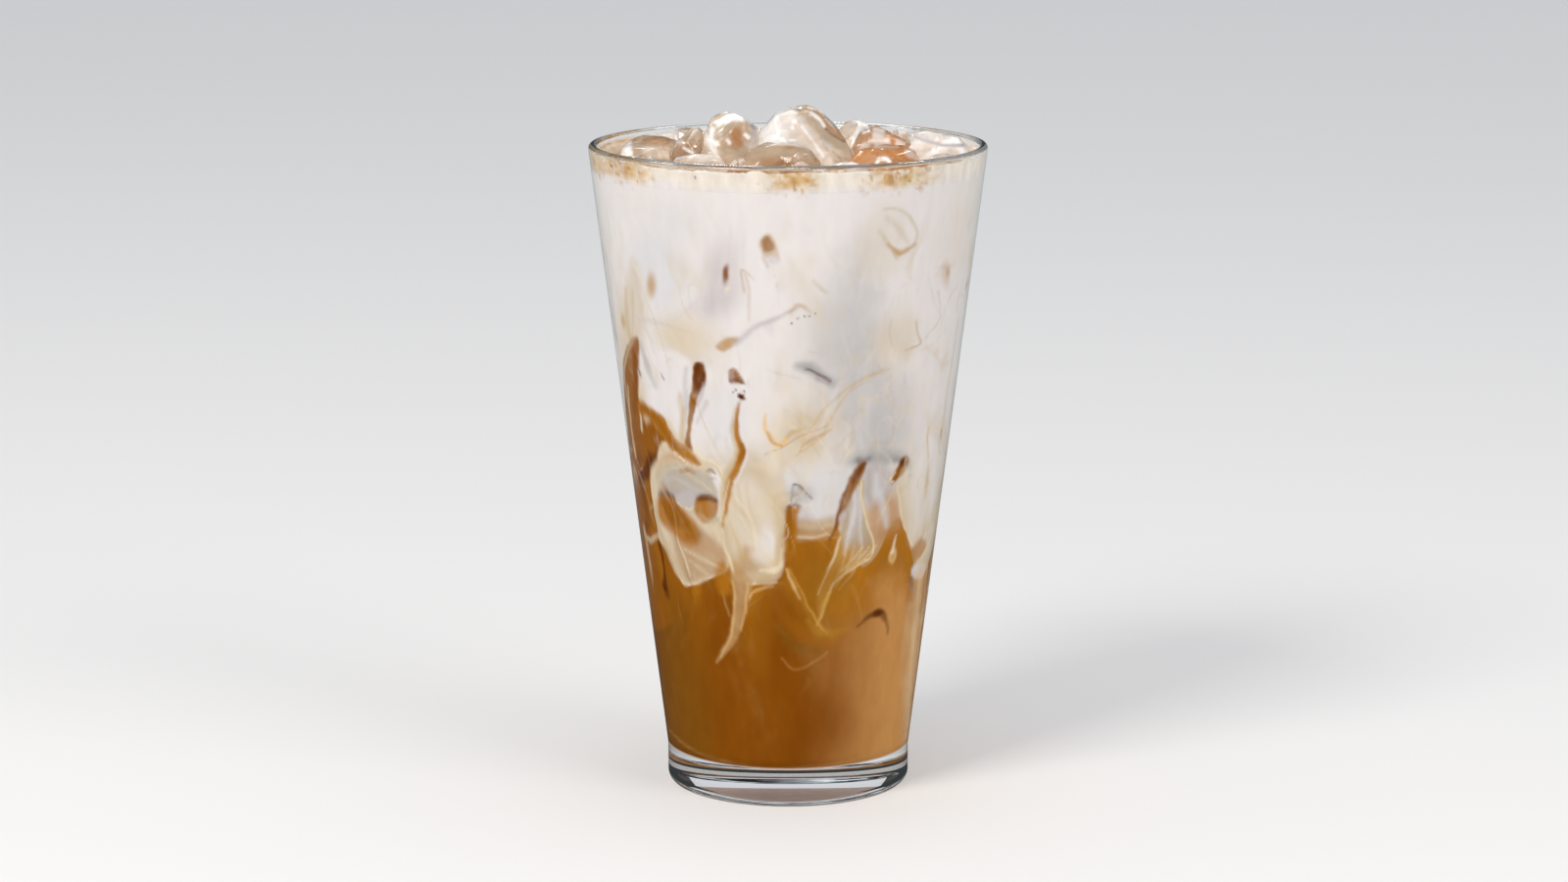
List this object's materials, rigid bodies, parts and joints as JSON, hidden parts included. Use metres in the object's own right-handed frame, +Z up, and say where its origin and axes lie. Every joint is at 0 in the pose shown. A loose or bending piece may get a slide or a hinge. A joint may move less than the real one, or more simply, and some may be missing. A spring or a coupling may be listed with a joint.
{
  "type": "iced shaken espresso",
  "caption": "Tall tapered clear glass of iced shaken espresso: milk sinking into coffee, froth and ice chunks at the rim.",
  "frame": {"origin": "centre of the underside of the glass's foot, on the table", "axes": "+Z up along the glass's axis; -Y is the front that the picture shows, +X its right"},
  "size_m": [0.089, 0.089, 0.1544],
  "materials": {
    "glass": "clear polished",
    "coffee": "liquid, cloudy amber brown",
    "milk": "liquid, opaque white",
    "froth": "fine bubbles, tan",
    "ice": "wet, half clear"
  },
  "bodies": {
    "root": {"glass": "glass", "coffee": "coffee", "milk": "milk", "froth": "froth", "ice_01": "ice", "ice_02": "ice", "ice_03": "ice", "ice_04": "ice", "ice_05": "ice", "ice_06": "ice", "ice_07": "ice", "ice_08": "ice", "ice_09": "ice", "ice_10": "ice", "ice_11": "ice", "ice_12": "ice", "ice_13": "ice", "ice_14": "ice", "ice_15": "ice", "ice_16": "ice"}
  },
  "joints": []
}
